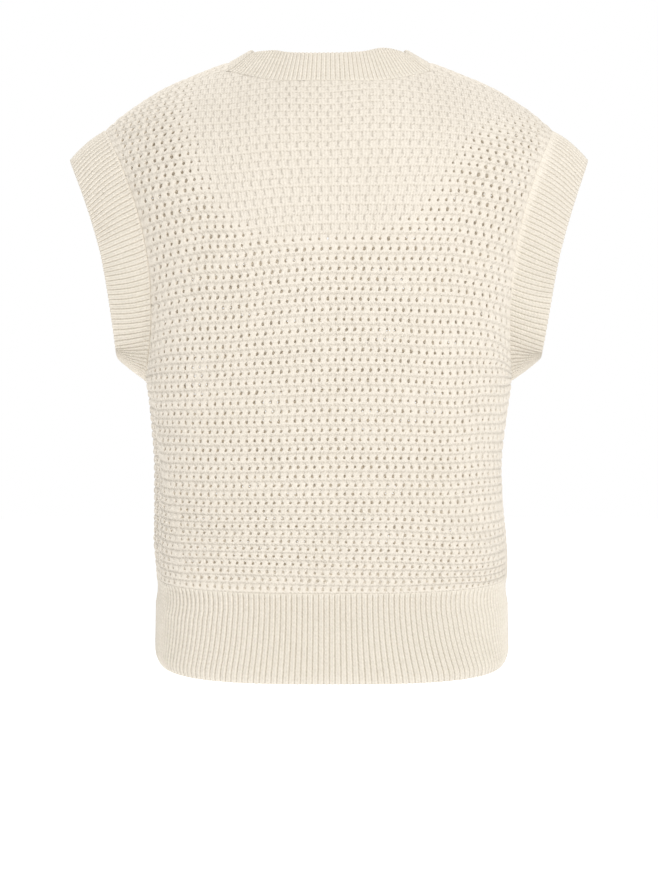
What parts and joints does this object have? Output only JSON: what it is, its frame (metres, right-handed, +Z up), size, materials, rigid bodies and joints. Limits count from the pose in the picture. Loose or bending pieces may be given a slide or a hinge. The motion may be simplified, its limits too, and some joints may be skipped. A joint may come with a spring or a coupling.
{
  "type": "sleeveless knitted cardigan, filled out as worn, with no wearer",
  "caption": "Sleeveless open-knit cardigan with deep ribbed hem, ribbed cap armbands, neckband and buttoned front bands, hollow as when worn.",
  "frame": {"origin": "midway between the tops of the two shoulders beside the neck, where the cloth hangs from its wearer", "axes": "+Z up, -Y towards the front of the wearer, +X towards the wearer's left; the picture looks along -Y, at the back"},
  "size_m": [0.4924, 0.2589, 0.5906],
  "materials": {
    "open_knit": "cream cotton yarn in an open eyelet knit, matte with a slight nap",
    "rib_knit": "cream cotton yarn in a fine one-by-one rib, matte with a slight nap",
    "button": "horn-like resin, satin"
  },
  "bodies": {
    "root": {"back_panel": "open_knit", "front_panel_l": "open_knit", "front_panel_r": "open_knit", "hem_rib_back": "rib_knit", "hem_rib_front_l": "rib_knit", "hem_rib_front_r": "rib_knit", "armband_l": "rib_knit", "armband_r": "rib_knit", "neckband": "rib_knit", "front_band_l": "rib_knit", "front_band_r": "rib_knit", "button_1": "button", "button_2": "button", "button_3": "button", "button_4": "button", "button_5": "button"}
  },
  "joints": []
}
